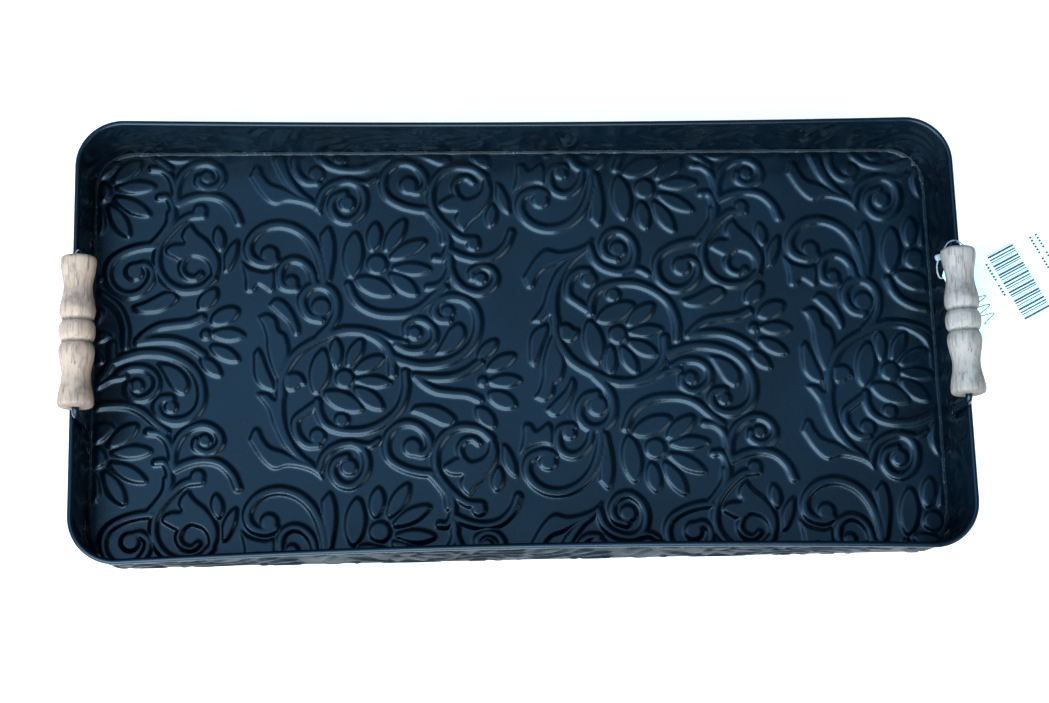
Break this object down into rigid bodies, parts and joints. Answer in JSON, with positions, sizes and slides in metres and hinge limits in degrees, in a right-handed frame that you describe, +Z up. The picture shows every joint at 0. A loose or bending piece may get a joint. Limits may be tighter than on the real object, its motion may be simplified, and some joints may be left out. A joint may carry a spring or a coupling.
{
  "type": "embossed metal serving tray",
  "caption": "Rectangular round-cornered serving tray in glossy black enamelled embossed sheet metal with a wired edge, turned wooden grips on wire bails and a card swing tag.",
  "frame": {"origin": "middle of the flat underside, on the surface that the tray stands on", "axes": "+X along the tray towards the handle with the tag, +Y across it away from the user, +Z up"},
  "size_m": [0.5831, 0.254, 0.0752],
  "materials": {
    "black_enamel": "gloss black enamel with a blue-green cast over embossed sheet steel",
    "black_enamel_wire": "gloss black enamel on steel wire",
    "black_enamel_rivet": "gloss black enamel on steel rivets",
    "bare_wire": "drawn steel wire, hidden in the curl",
    "weathered_wood": "matte grey-beige limed and weathered turned wood",
    "tag_card": null,
    "clear_plastic": "translucent clear moulded plastic"
  },
  "bodies": {
    "tray": {"floor_panel": "black_enamel", "wall_band": "black_enamel", "rim_wire": "bare_wire", "seam_solder": "black_enamel", "wall_strap": "black_enamel", "right_bail": "black_enamel_wire", "right_rivet_a": "black_enamel_rivet", "right_rivet_b": "black_enamel_rivet", "left_bail": "black_enamel_wire", "left_rivet_a": "black_enamel_rivet", "left_rivet_b": "black_enamel_rivet"},
    "right_grip_turning": {"right_grip": "weathered_wood"},
    "left_grip_turning": {"left_grip": "weathered_wood"},
    "swing_tag": {"tag_card": "tag_card", "tag_loop": "clear_plastic"}
  },
  "joints": [
    {"name": "right_grip_spin", "type": "hinge", "parent": "tray", "child": "right_grip_turning", "pos_m": [0.2482, 0, 0.065], "axis": [0, 1, 0], "continuous": true},
    {"name": "left_grip_spin", "type": "hinge", "parent": "tray", "child": "left_grip_turning", "pos_m": [-0.2482, 0, 0.065], "axis": [0, 1, 0], "continuous": true},
    {"name": "tag_swing", "type": "hinge", "parent": "tray", "child": "swing_tag", "pos_m": [0.2482, 0.0459, 0.0535], "axis": [0, 0, 1], "range_deg": [-12, 6]}
  ]
}
